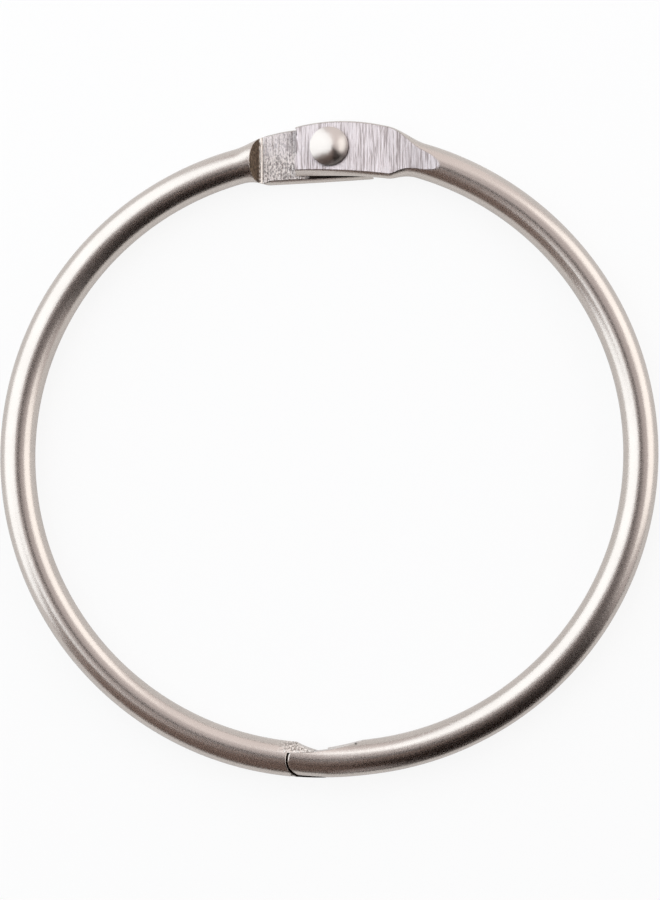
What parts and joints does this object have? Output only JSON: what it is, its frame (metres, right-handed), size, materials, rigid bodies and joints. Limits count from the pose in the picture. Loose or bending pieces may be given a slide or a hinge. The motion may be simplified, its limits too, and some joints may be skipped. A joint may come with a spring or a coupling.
{
  "type": "shower curtain ring",
  "caption": "Round hinged wire ring that swings open at a lapped snap clasp, closes through a curtain's eyelet and slides along a shower rod.",
  "frame": {"origin": "middle of the closed ring, on the surface that it lies on", "axes": "+Z along the ring's axis, up out of the surface; +Y from the clasp towards the rivet; +X towards the half that opens"},
  "size_m": [0.0563, 0.0561, 0.0037],
  "materials": {
    "wire": "satin nickel plate on drawn steel wire",
    "rivet": "nickel plate, smoother than the wire"
  },
  "bodies": {
    "left": {"left_half_ring": "wire", "rivet": "rivet"},
    "right": {"right_half_ring": "wire"}
  },
  "joints": [
    {"name": "rivet_hinge", "type": "hinge", "parent": "left", "child": "right", "pos_m": [0, 0.0258, 0.0015], "axis": [0, 0, 1], "range_deg": [0, 150]}
  ]
}
